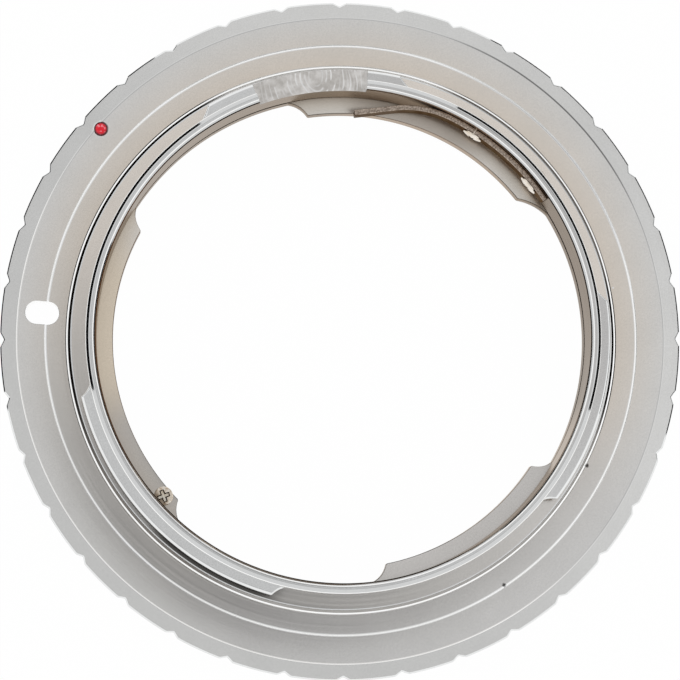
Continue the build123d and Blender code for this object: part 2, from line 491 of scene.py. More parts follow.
@dataclass(frozen=True)
class MilledNickel:
    """Plated flat left by an end mill: uneven arcs of the cutter, bright on a dull ground."""

    name: str = "end_milled_nickel_plate"
    colour: str = "#F4F1EE"
    dull: str = "#CFCBC6"
    roughness: float = 0.34
    centre_radius: float = 26.1
    centre_angle: float = 95.9
    centre_height: float = 6.65
    arc_width: float = 0.09
    arc_stretch: float = 0.75
    arc_relief: float = 0.03
    wander: float = 0.3
    wander_size: float = 3.0
    skip_size: float = 1.3
    blotch_size: float = 0.9
    arcs: tuple[Point, ...] = (
        *((0.75, 0.5), (1.1, 0.7), (1.5, 1.0), (1.95, 0.9), (2.4, 0.4), (2.75, 0.8), (3.1, 0.4)),
        *((3.4, 0.8), (3.75, 0.4), (4.1, 0.8), (4.6, 0.5), (5.1, 0.4), (5.5, 0.4)),
    )

    def material(self) -> bpy.types.Material:
        """Make the material.

        Returns:
            A plated metal with the arcs of the cutter.
        """
        metal = Surface.metal(self.name, self.colour, self.roughness)
        # The cutter wandered and skipped, so its arcs aren't quite round or whole
        drift = metal.cloud(self.wander_size, 1.0, (0.0, 1.0), (-self.wander * MM, self.wander * MM))
        centre = polar(self.centre_radius, self.centre_angle, self.centre_height)
        turned = metal.add(
            "VectorRotate",
            {"Vector": metal.place, "Center": centre, "Angle": radians(90 - self.centre_angle)},
            rotation_type="Z_AXIS",
        )
        aside = metal.add("VectorMath", (turned, centre), operation="SUBTRACT")
        tall = metal.add("VectorMath", (aside, (1, self.arc_stretch, 1)), operation="MULTIPLY")
        away = metal.add("VectorMath", (tall,), operation="LENGTH")
        ring = metal.add("Math", (away, drift), operation="ADD")
        lines: Feed = 0.0
        for radius, strength in self.arcs:
            off = metal.add("Math", (ring, radius * MM), operation="SUBTRACT")
            gap = metal.add("Math", (off,), operation="ABSOLUTE")
            line = metal.add("MapRange", (gap, 0.0, self.arc_width * MM, strength, 0.0))
            lines = metal.add("Math", (lines, line), operation="MAXIMUM")
        fade = metal.add("Math", (lines, metal.cloud(self.skip_size, 1.0, (0.4, 0.5))), operation="MULTIPLY")
        tones = {6: linear(self.colour), 7: linear(self.dull)}
        ground = metal.add("Mix", {0: metal.cloud(self.blotch_size, 4.0), **tones}, data_type="RGBA")
        tone = metal.add("Mix", {0: fade, 6: ground, 7: linear(WHITE)}, data_type="RGBA")
        bump = metal.add("Bump", {"Strength": 0.8, "Distance": self.arc_relief * MM, "Height": fade})
        feed(metal.shader, {"Base Color": tone, "Normal": bump})
        return metal.material


@dataclass(frozen=True)
class RolledSteel:
    """Rolled spring strip or turned screw steel: fine straight grain and brown staining."""

    name: str
    colour: str
    stain: str
    roughness: float
    grain: tuple[float, float, float] = (0.2, 0.2, 0.05)
    patch: float = 1.2
    grazing: str = WHITE
    gloss_change: float = 0.3
    relief: float = 0.004

    def material(self) -> bpy.types.Material:
        """Make the material.

        Returns:
            A steel with fine grain and a stain that gathers in patches.
        """
        metal = Surface.metal(self.name, self.colour, self.roughness, self.grazing)
        marks_per_metre = tuple(1 / (size * MM) for size in self.grain)
        stretched = metal.add("VectorMath", (metal.place, marks_per_metre), operation="MULTIPLY")
        grain = metal.add("TexNoise", {"Vector": stretched, "Scale": 1.0, "Detail": 2.0})
        tones = {6: linear(self.colour), 7: linear(self.stain)}
        tone = metal.add("Mix", {0: metal.cloud(self.patch, 3.0), **tones}, data_type="RGBA")
        ends = (self.roughness * (1 - self.gloss_change), self.roughness * (1 + self.gloss_change))
        gloss = metal.add("MapRange", (grain, 0.0, 1.0, *ends))
        bump = metal.add("Bump", {"Strength": 0.5, "Distance": self.relief * MM, "Height": grain})
        feed(metal.shader, {"Base Color": tone, "Roughness": gloss, "Normal": bump})
        return metal.material


@dataclass(frozen=True)
class Enamel:
    """Glossy stoving enamel: red, with painted shade deepening it towards its edge and pale painted highlights near
    its middle.
    """

    centre: tuple[float, float, float]
    name: str = "red_stoving_enamel"
    colour: str = "#EA1A30"
    # Painted shade: the colour that the red darkens to near the drop's edge
    dark: str = "#5A0311"
    # Painted highlight: the pale colour of the gleams near the middle
    painted_gleam: str = "#FF8B95"
    roughness: float = 0.16
    specular: float = 0.3
    coat: float = 0.25
    coat_roughness: float = 0.08
    core: Point = (0.46, 0.6)
    gleam_size: float = 0.3
    gleam_spread: Point = (0.56, 0.66)
    skin_relief: float = 0.02

    def material(self) -> bpy.types.Material:
        """Make the material.

        Returns:
            A glossy enamel.
        """
        coat = {"Coat Weight": self.coat, "Coat Roughness": self.coat_roughness}
        drop = Surface(self.name, {"Roughness": self.roughness, "Specular IOR Level": self.specular, **coat})
        away = drop.add("VectorMath", (drop.place, self.centre), operation="DISTANCE")
        # Painted shade: darker towards the edge of the drop
        edge = drop.add("MapRange", (away, *(limit * MM for limit in self.core)))
        body = drop.add("Mix", {0: edge, 6: linear(self.colour), 7: linear(self.dark)}, data_type="RGBA")
        skin = drop.add("TexNoise", {"Vector": drop.place, "Scale": 1 / (self.gleam_size * MM), "Detail": 1.0})
        # Painted highlights: pale gleams in the middle, from the noise of the skin's bump
        gleam = drop.add("MapRange", (skin, *self.gleam_spread))
        middle = drop.add("Math", (1.0, edge), operation="SUBTRACT")
        shown = drop.add("Math", (gleam, middle), operation="MULTIPLY")
        tone = drop.add("Mix", {0: shown, 6: body, 7: linear(self.painted_gleam)}, data_type="RGBA")
        bump = drop.add("Bump", {"Strength": 0.4, "Distance": self.skin_relief * MM, "Height": skin})
        feed(drop.shader, {"Base Color": tone, "Normal": bump})
        return drop.material


@dataclass
class LugPlan:
    """Plan of a set of lugs: a radius at every angle, between a root and a tip circle."""

    root: float
    tip: float
    spans: tuple[tuple[tuple[float, float], tuple[float, float]], ...]
    hollow: float
    corner: float = 0.07
    steps: int = 9
    angles: list[float] = field(default_factory=list)
    radii: list[float] = field(default_factory=list)

    def __post_init__(self) -> None:
        """Lay out the lug ends, each an arc hollowed into its lug."""
        corner = degrees(self.corner / self.tip)
        for (start, end), runs in self.spans:
            rise = self.end_arc(start - degrees(runs[0] / self.root), start, -1)
            fall = self.end_arc(end + degrees(runs[1] / self.root), end, 1)
            crest = [(start + corner, self.tip), (end - corner, self.tip)]
            for angle, radius in rise + crest + fall[::-1]:
                self.angles.append(angle)
                self.radii.append(radius)

    def end_arc(self, root_angle: float, tip_angle: float, side: int) -> list[Point]:
        """Angles and radii along one lug end.

        Args:
            root_angle: Angle where the end meets the root circle.
            tip_angle: Angle where it would meet the tip circle in a sharp corner.
            side: Minus one for the end where the lug starts, one for the other.

        Returns:
            Angle and radius of each point, from the root to just short of the corner.
        """
        root = np.array(polar(self.root, root_angle)[:2]) / MM
        tip = np.array(polar(self.tip, tip_angle)[:2]) / MM
        chord = tip - root
        length = np.linalg.norm(chord)
        across = np.array((chord[1], -chord[0])) / length
        middle = np.array(polar(1.0, tip_angle + 5 * -side)[:2]) / MM * self.tip
        if np.dot(middle - root, across) < 0:
            across = -across
        last = 1 - self.corner / length
        points = []
        for t in np.linspace(0, last, self.steps):
            x, y = root + chord * t + across * self.hollow * 4 * t * (1 - t)
            angle = degrees(np.arctan2(y, x))
            points.append((tip_angle + (angle - tip_angle + 180) % 360 - 180, float(np.hypot(x, y))))
        return points

    def radius(self, angle: float) -> float:
        """Radius of the plan at an angle."""
        turned = [self.angles[0] + (angle - self.angles[0]) % 360]
        order = self.angles + [self.angles[0] + 360]
        return float(np.interp(turned, order, self.radii + [self.radii[0]])[0])


@dataclass(frozen=True)
class Corner:
    """Corner of the ring's section, with the finish of its rounding and of the face after it."""

    radius: float
    height: float
    ease: float
    edge: Zone
    face: Zone


@dataclass
class RingBody:
    """The turned, plated ring with both bayonets, one piece of metal."""

    bore_radius: float = 24.55
    bore_chamfer: float = 0.3
    lens_lug_radius: float = 22.95
    lens_lug_thickness: float = 1.9
    undercut: float = 0.3
    undercut_top: float = 2.5
    barrel_radius: float = 25.61
    barrel_top: float = 8.35
    barrel_chamfer: float = 0.4
    camera_lug_radius: float = 26.7
    camera_lug_floor: float = 5.6
    camera_lug_top: float = 7.0
    camera_lug_bevel: float = 0.2
    register_radius: float = 27.2
    register_top: float = 3.5
    relief_floor: float = 2.6
    land_bore_radius: float = 27.42
    lip_width: float = 0.25
    lip_drop: float = 0.09
    lip_wall: float = 0.04
    witness_radius: float = 29.65
    witness_half: float = 0.13
    witness_depth: float = 0.085
    witness_wall: float = 0.06
    land_radius: float = 32.5
    rim_radius: float = 34.2
    bevel_drop: float = 0.75
    rim_break: float = 0.14
    rim_break_lean: float = 41.0
    flange: float = 3.0
    seat_chamfer: float = 0.4
    edge_break: float = 0.12
    notch_count: int = 36
    notch_width: float = 1.4
    notch_depth: float = 0.4
    notch_floor_round: float = 0.05
    notch_edge_round: float = 0.02
    notch_stations: tuple[float, ...] = (0.05, 0.12, 0.35, 0.62, 0.7, 0.78)
    flat_span: tuple[float, float] = (84.5, 109.7)
    flat_level: float = 6.65
    slot_radius: float = 30.1
    slot_angle: float = 175.0
    slot_length: float = 3.4
    slot_width: float = 2.3
    slot_edge: float = 0.03
    bead_at: Point = BEAD_AT
    bead_seat: float = 0.71
    bead_floor: float = 2.5
    bead_flare: float = 0.04
    screw_angles: Point = SPRING_SCREW_ANGLES
    screw_level: float = SPRING_SCREW_LEVEL
    stop_at: Point = STOP_SCREW_AT
    hole_radius: float = 0.52
    stop_hole: Point = (-0.5, 2.2)
    over: float = 0.3
    column_step: float = 1.0
    level_limit: float = 0.995
    land_crown: float = 3.5
    lug_crown: float = 5.5
    rim_crown: float = 2.0
    lens_lug_crown: tuple[float, float] = (3.0, 11.0)

    def camera_lugs(self) -> LugPlan:
        """Plan of the three lugs that stand out from the barrel."""
        spans = (((77.4, 120.3), (1.5, 1.6)), ((193.0, 254.2), (1.05, 1.15)), ((322.4, 367.45), (1.05, 1.6)))
        return LugPlan(self.barrel_radius, self.camera_lug_radius, spans, 0.12)

    def lens_lugs(self) -> LugPlan:
        """Plan of the three lugs that stand into the bore."""
        spans = (((38.55, 98.1), (3.7, 2.2)), ((151.3, 224.35), (2.25, 2.2)), ((281.15, 326.25), (2.05, 1.9)))
        return LugPlan(self.bore_radius + self.edge_break, self.lens_lug_radius, spans, 0.36)

    def rim_at(self, angle: float) -> float:
        """Radius of the rim at an angle, less in a grip notch."""
        pitch = 360 / self.notch_count
        off = (angle + pitch / 2) % pitch - pitch / 2
        along = abs(self.rim_radius * radians(off))
        depth = self.notch_depth * (1 - sqrt(along**2 + self.notch_floor_round**2) / (self.notch_width / 2))
        return self.rim_radius - (depth + sqrt(depth**2 + self.notch_edge_round**2)) / 2

    def section(self, rim: float, camera: float, lens: float) -> list[Corner]:
        """Section of the ring at one angle, as a closed loop from the lens seat outwards.

        Args:
            rim: Radius of the rim there.
            camera: Radius of the camera bayonet there.
            lens: Radius of the lens bayonet there.

        Returns:
            Corners in order.
        """
        drop = self.bevel_drop * (rim - self.land_radius) / (self.rim_radius - self.land_radius)
        chamfer = self.seat_chamfer - (self.rim_radius - rim)
        crest = max(self.barrel_radius, camera - self.camera_lug_bevel)
        line_in = self.witness_radius - self.witness_half
        line_out = self.witness_radius + self.witness_half
        lip = self.land_bore_radius + self.lip_width
        slope = self.bevel_drop / (self.rim_radius - self.land_radius)
        break_top = self.flange - drop + self.rim_break * slope
        break_foot = break_top - self.rim_break * tan(radians(self.rim_break_lean))
        z = Zone
        # Corners under the camera lugs, at the bore's edge, in the undercut and at the lens lugs' tips take painted
        # shade
        return [
            Corner(lens + self.edge_break, 0, 0.03, z.SEAT, z.SEAT),
            Corner(self.rim_radius - self.seat_chamfer, 0, 0.06, z.RIM, z.RIM),
            Corner(rim, chamfer, 0.06, z.RIM, z.RIM),
            Corner(rim, break_foot, 0.03, z.RIM, z.BAYONET),
            Corner(rim - self.rim_break, break_top, 0.02, z.BAYONET, z.BEVEL),
            Corner(self.land_radius, self.flange, 0.09, z.BEVEL_LINE, z.LAND),
            Corner(line_out, self.flange, 0.02, z.LINE, z.LINE),
            Corner(line_out - self.witness_wall, self.flange - self.witness_depth, 0.02, z.LINE, z.LINE),
            Corner(line_in, self.flange, 0, z.LINE, z.LAND),
            Corner(lip, self.flange, 0, z.LAND, z.GROOVE),
            Corner(lip - self.lip_wall, self.flange - self.lip_drop, 0, z.GROOVE, z.LINE),
            Corner(self.land_bore_radius, self.flange, 0.03, z.LINE, z.GROOVE),
            Corner(self.land_bore_radius, self.relief_floor, 0, z.GROOVE, z.GROOVE),
            Corner(self.register_radius, self.relief_floor, 0, z.GROOVE, z.BAYONET),
            Corner(self.register_radius, self.register_top, 0.16, z.BAYONET, z.REGISTER),
            Corner(self.barrel_radius, self.register_top, 0, z.REGISTER, z.BAYONET),
            Corner(self.barrel_radius, self.camera_lug_floor, 0, z.BAYONET, z.STAINED),
            Corner(camera, self.camera_lug_floor, 0.05, z.STAINED, z.CHAMFER),
            Corner(camera, self.camera_lug_top - self.camera_lug_bevel, 0.1, z.BAYONET, z.BAYONET),
            Corner(crest, self.camera_lug_top, 0.1, z.BAYONET, z.LUG_TOP),
            Corner(self.barrel_radius, self.camera_lug_top, 0, z.LUG_TOP, z.BAYONET),
            Corner(self.barrel_radius, self.barrel_top - self.barrel_chamfer, 0.14, z.LINE, z.CHAMFER),
            Corner(self.barrel_radius - self.barrel_chamfer, self.barrel_top, 0.12, z.CHAMFER, z.LUG_TOP),
            Corner(self.bore_radius + self.bore_chamfer, self.barrel_top, 0.08, z.LINE, z.CHAMFER),
            Corner(self.bore_radius, self.barrel_top - self.bore_chamfer, 0.13, z.STAINED, z.BORE),
            Corner(self.bore_radius, self.undercut_top, 0.05, z.BORE, z.STAINED),
            Corner(self.bore_radius + self.undercut, self.undercut_top, 0, z.STAINED, z.STAINED),
            Corner(self.bore_radius + self.undercut, self.lens_lug_thickness, 0, z.LENS_LUG, z.LENS_LUG),
            Corner(lens, self.lens_lug_thickness, 0.05, z.STAINED, z.BORE),
            Corner(lens, self.edge_break, 0.04, z.BORE, z.SEAT),
        ]

    def columns(self, plans: tuple[LugPlan, LugPlan]) -> list[tuple[float, bool]]:
        """Angles at which the section is drawn, and whether each lies on the milled flat.

        Args:
            plans: Plans of the camera and the lens lugs.

        Returns:
            Angles in order; the two walls of the flat have two columns each.
        """
        angles = set(np.arange(0, 360, self.column_step).round(4))
        for plan in plans:
            angles.update(round(a % 360, 4) for a in plan.angles)
        for k in range(self.notch_count):
            middle = 360 * k / self.notch_count
            for along in (side * station for station in self.notch_stations for side in (-1, 1)):
                angles.add(round((middle + degrees(along / self.rim_radius)) % 360, 4))
        start, end = self.flat_span
        angles -= {start, end}
        rows = [(a, start < a < end) for a in angles]
        rows += [(start, False), (start, True), (end, True), (end, False)]
        return sorted(rows, key=lambda row: (row[0], row[1] if row[0] == start else not row[1]))

    def build(self) -> bpy.types.Object:
        """Skin the sections into a ring and cut what isn't turned.

        Returns:
            The ring, with a material slot number on each face.
        """
        camera_lugs, lens_lugs = self.camera_lugs(), self.lens_lugs()
        points: list[Vector] = []
        zones: list[int] = []
        rows = self.columns((camera_lugs, lens_lugs))
        for angle, on_flat in rows:
            lens = min(self.bore_radius, lens_lugs.radius(angle))
            camera = max(self.barrel_radius, camera_lugs.radius(angle))
            corners = self.section(self.rim_at(angle), camera, lens)
            loops = eased([(c.radius, c.height) for c in corners], [c.ease for c in corners], 2)
            top = self.flat_level if on_flat else self.barrel_top
            points += [polar(r, angle, min(h, top)) for loop in loops for r, h in loop]
            if not zones:
                for corner, loop in zip(corners, loops):
                    zones += [int(corner.edge)] * (len(loop) - 1) + [int(corner.face)]
        size = len(zones)
        faces, shades = [], []
        for k, (_, on_flat) in enumerate(rows):
            after = (k + 1) % len(rows)
            for i in range(size):
                j = (i + 1) % size
                faces.append([k * size + i, after * size + i, after * size + j, k * size + j])
                heights = [points[n].z for n in faces[-1]]
                level = all(abs(height - self.flat_level * MM) < 1e-7 for height in heights)
                milled = on_flat and rows[after][1] and level
                shades.append(int(Zone.MILLED) if milled else zones[i])
        ring = new_object("ring_body", points, faces, shades)
        cut(ring, self.cutters())
        shade(ring, CREASE)
        self.true_normals(ring)
        return ring

    def true_normals(self, ring: bpy.types.Object) -> None:
        """Give turned faces the normals of their section, and lean crowned flats outwards.

        Args:
            ring: The ring, already shaded.
        """
        mesh = ring.data
        corners = np.array([corner.vector for corner in mesh.corner_normals])
        owner = np.repeat(np.arange(len(mesh.polygons)), [len(face.vertices) for face in mesh.polygons])
        faces = np.array([face.normal for face in mesh.polygons])
        middles = np.array([face.center for face in mesh.polygons])
        zones = np.array([face.material_index for face in mesh.polygons])[owner]
        vertex = np.array([loop.vertex_index for loop in mesh.loops])
        places = np.array([point.co for point in mesh.vertices])[vertex] / MM
        reach = np.hypot(places[:, 0], places[:, 1])
        out = np.column_stack((places[:, :2] / reach[:, None], np.zeros(len(places))))
        face_out = middles[:, :2] / np.hypot(middles[:, 0], middles[:, 1])[:, None]
        radial = np.sum(faces[:, :2] * face_out, axis=1)[owner]
        axial = faces[owner, 2]
        turned = np.abs(faces[:, 0] * face_out[:, 1] - faces[:, 1] * face_out[:, 0])[owner] < 0.04
        starts = np.flatnonzero(np.r_[True, owner[1:] != owner[:-1]])
        spread = [np.maximum.reduceat(v, starts) - np.minimum.reduceat(v, starts) for v in (reach, places[:, 2])]
        weight = np.hypot(*spread)[owner] ** 3

        # At each point, join the section's neighbouring faces, the long ones before the short
        order = np.argsort(vertex, kind="stable")
        summed = np.zeros((2, len(order)))
        for step in range(-8, 9):
            other = np.roll(order, step)
            near = radial[order] * radial[other] + axial[order] * axial[other] > cos(radians(CREASE))
            joined = near & turned[other] & (vertex[order] == vertex[other])
            summed += np.where(joined, weight[other] * np.array((radial[other], axial[other])), 0)
        section = np.zeros_like(summed)
        section[:, order] = summed / np.maximum(np.hypot(*summed), 1e-12)

        lean = np.zeros(len(places))
        on_land = zones == int(Zone.LAND)
        share = np.clip((reach - self.land_bore_radius) / (self.land_radius - self.land_bore_radius), 0, 1)
        lean[on_land] = radians(self.land_crown) * share[on_land]
        on_top = (zones == int(Zone.LUG_TOP)) & (axial > self.level_limit)
        lean[on_top] = radians(self.lug_crown)
        lean[on_top & (reach < self.barrel_radius - 0.1)] = radians(self.rim_crown)
        on_lens_lug = (zones == int(Zone.LENS_LUG)) & (axial > self.level_limit)
        share = np.clip((self.bore_radius - reach) / (self.bore_radius - self.lens_lug_radius), 0, 1)
        lean[on_lens_lug] = -np.radians(np.interp(share[on_lens_lug], (0, 1), self.lens_lug_crown))
        leaned = np.cos(lean) * section[0] + np.sin(lean) * section[1]
        upright = np.cos(lean) * section[1] - np.sin(lean) * section[0]
        trued = out * leaned[:, None] + np.array((0, 0, 1)) * upright[:, None]
        mesh.normals_split_custom_set(np.where(turned[:, None], trued, corners).tolist())

    def cutters(self) -> bpy.types.Object:
        """Tools for the pin slot, the bead's seat and the three tapped holes.

        Returns:
            One object with all of them, apart from each other.
        """
        points: list[Vector] = []
        faces: list[list[int]] = []
        shades: list[int] = []
        bright = [(self.slot_rings(), Zone.LINE), (self.bead_rings(), Zone.LINE)]
        for rings, zone in bright + [(rings, Zone.BORE) for rings in self.hole_rings()]:
            more, skin, slots = tube(rings, int(zone))
            faces += [[n + len(points) for n in face] for face in skin]
            points += more
            shades += slots
        return new_object("cutters", points, faces, shades)

    def slot_rings(self) -> list[list[Vector]]:
        """Rings of the slot's cutter, flared where it breaks the faces."""
        over, count = self.over, 64
        levels = (
            (-over, self.slot_edge + over),
            (self.slot_edge, 0.0),
            (self.flange - self.slot_edge, 0.0),
            (self.flange + over, self.slot_edge + over),
        )
        half = (self.slot_length - self.slot_width) / 2
        turn = Matrix.Rotation(radians(self.slot_angle), 3, "Z")
        rings = []
        for height, grow in levels:
            ring = []
            for k in range(count):
                angle = 2 * pi * (k + 0.5) / count
                radius = self.slot_width / 2 + grow
                x = radius * cos(angle) + (half if cos(angle) > 0 else -half)
                aside = turn @ Vector((x, radius * sin(angle), 0)) * MM
                ring.append(polar(self.slot_radius, self.slot_angle, height) + aside)
            rings.append(ring)
        return rings

    def bead_rings(self) -> list[list[Vector]]:
        """Rings of the bead seat's cutter."""
        centre = polar(*self.bead_at)
        levels = (
            (self.bead_floor, self.bead_seat),
            (self.flange - self.bead_flare, self.bead_seat),
            (self.flange + self.over, self.bead_seat + self.bead_flare + self.over),
        )
        return [[centre + polar(radius, 7.5 * k, z) for k in range(48)] for z, radius in levels]

    def hole_rings(self) -> list[list[list[Vector]]]:
        """Rings of the cutters of the three tapped holes."""
        sets = []
        for angle in self.screw_angles:
            across, up = polar(1, angle + 90) / MM, Vector((0, 0, 1))
            sets.append(
                [
                    [
                        polar(radius, angle, self.screw_level)
                        + (across * cos(2 * pi * k / 32) + up * sin(2 * pi * k / 32)) * self.hole_radius * MM
                        for k in range(32)
                    ]
                    for radius in (self.lens_lug_radius, self.register_radius)
                ]
            )
        centre = polar(*self.stop_at)
        sets.append([[centre + polar(self.hole_radius, 11.25 * k, z) for k in range(32)] for z in self.stop_hole])
        return sets

    def dress(self, ring: bpy.types.Object) -> None:
        """Give each surface of the ring its finish.

        Args:
            ring: The ring that build() made.
        """
        # Painted highlight: a white glow round the bead, on the bevel and the land
        bead_highlight = Mark(*self.bead_at, self.flange, 1.25, WHITE)
        chips = (
            Mark(29.52, 303.1, self.flange, 0.34),
            Mark(27.72, 332.5, self.flange, 0.36),
            Mark(27.9, 10.6, self.flange, 0.2, WHITE),
        )
        nicks = tuple(Mark(25.05, angle, self.barrel_top, 0.12, WHITE) for angle in (284.4, 285.3, 286.0))
        # Satin plate gives a broad soft sheen, a bright-cut edge a thin white line, a bright turned wall a mirror of
        # the room, and a corner with painted shade a dark outline; the side tones paint light and shade onto parts
        # of the ring
        finishes = {
            Zone.SEAT: TurnedNickel("turned_nickel_seat", "#DAD7D2", 0.22, "#D8D1C7"),
            Zone.RIM: TurnedNickel("turned_nickel_rim", "#D6D6D5", 0.2),
            # Painted shade: the bevel darkens towards the lower left, and carries the bead's painted highlight
            Zone.BEVEL: TurnedNickel(
                "satin_nickel_bevel",
                "#CBCBCA",
                0.2,
                "#CAC9C7",
                grain=0.05,
                marks=(bead_highlight,),
                sides=(PaintedSideTone(222, "#C2C2C1", 80, 115),),
            ),
            # Painted light and shade: the land loses its inner warmth towards the bottom and darkens at the lower
            # right; the bead's painted highlight lies on it too
            Zone.LAND: TurnedNickel(
                "satin_nickel_land",
                "#ECEBE9",
                0.18,
                "#F0E6DA",
                colour_to=32.5,
                grain=0.05,
                marks=(bead_highlight, *chips),
                sides=(PaintedSideTone(258, "#ECEBE9", 40, 110, 0.7), PaintedSideTone(290, "#E0DFDE", 25, 60, 0.6)),
            ),
            Zone.LINE: TurnedNickel("bright_cut_nickel", "#FFFFFE", 0.16, relief=0.0, grain=0.0, marks=chips[:2]),
            # Painted shade: the relief groove is darker than the plate, black at the left and beside the right-hand
            # lug; painted light lifts it at the top and lower right
            Zone.GROOVE: TurnedNickel(
                "dull_nickel_relief",
                "#A49E98",
                0.3,
                relief=0.0,
                sides=(
                    PaintedSideTone(156, "#15120F", 32, 58),
                    PaintedSideTone(357, "#1C1815", 10, 20),
                    PaintedSideTone(92, "#FBF9F6", 20, 30),
                    PaintedSideTone(292, "#DAD7D3", 38, 56),
                ),
            ),
            # Painted shadow of the lower-left camera lug, and a cooler, darker tone towards the bottom
            Zone.REGISTER: TurnedNickel(
                "satin_nickel_register",
                "#FBF3EA",
                0.16,
                grain=0.06,
                sides=(PaintedSideTone(262, "#F1EEEA", 50, 110), PaintedSideTone(240, "#4A4642", 10, 18, 0.8)),
            ),
            Zone.BAYONET: TurnedNickel("bright_nickel_bayonet", "#ECEDED", 0.08, relief=0.0003),
            # A warm tone, darkened as painted shade of the bore; its side tones paint light and shade round the ring
            Zone.BORE: TurnedNickel(
                "warm_nickel_bore",
                "#8E8378",
                0.24,
                grain=0.1,
                grazing="#DBD2C8",
                sides=(
                    PaintedSideTone(180, "#6E5A44", 12, 48, 0.8),
                    PaintedSideTone(258, "#8C8A88", 25, 60, 0.8),
                    PaintedSideTone(8, "#766C63", 25, 55, 0.9),
                    PaintedSideTone(64, "#BFB0A1", 16, 32, 0.9),
                    PaintedSideTone(318, "#C9BEB3", 14, 28, 0.9),
                ),
            ),
            # Painted shade: the lens lugs darken and warm towards the bore wall, and their side tones paint light
            # and shade round the ring
            Zone.LENS_LUG: TurnedNickel(
                "warm_nickel_lens_lug",
                "#DED3C4",
                0.2,
                "#E6E1DA",
                colour_from=self.lens_lug_radius,
                colour_to=24.6,
                grain=0.06,
                sides=(
                    PaintedSideTone(300, "#DEDBD8", 30, 80),
                    PaintedSideTone(70, "#A2968A", 7, 21, 0.55),
                    PaintedSideTone(212, "#B9B5B1", 14, 32, 0.6),
                    PaintedSideTone(177, "#E8DAC6", 8, 26, 0.9),
                ),
            ),
            Zone.MILLED: MilledNickel(),
            # Painted shade: the lug tops and barrel rim darken towards the upper right
            Zone.LUG_TOP: TurnedNickel(
                "satin_nickel_lug", "#E6E7E7", 0.16, grain=0.08, marks=nicks, sides=(PaintedSideTone(30, "#D6D5D4", 35, 80),)
            ),
            Zone.CHAMFER: TurnedNickel("bright_nickel_chamfer", "#D0D1D1", 0.08, relief=0.0003),
            # Painted shade in the corners, lighter at the upper and lower right and browner at the left
            Zone.STAINED: TurnedNickel(
                "stained_nickel_corner",
                "#352D27",
                0.3,
                relief=0.0,
                grazing="#6A5F55",
                sides=(
                    PaintedSideTone(68, "#8A7868", 12, 22),
                    PaintedSideTone(175, "#6A4C30", 25, 45),
                    PaintedSideTone(320, "#A0958A", 12, 26),
                ),
            ),
            # Painted shade: the bright edge greys on its upper side and goes dark at the upper right
            Zone.BEVEL_LINE: TurnedNickel(
                "bright_cut_nickel_edge",
                "#FDFCFA",
                0.16,
                relief=0.0,
                grain=0.0,
                sides=(PaintedSideTone(52, "#D2D2D1", 85, 115), PaintedSideTone(48, "#9A9A99", 10, 25)),
            ),
        }
        for zone in Zone:
            ring.data.materials.append(finishes[zone].material())


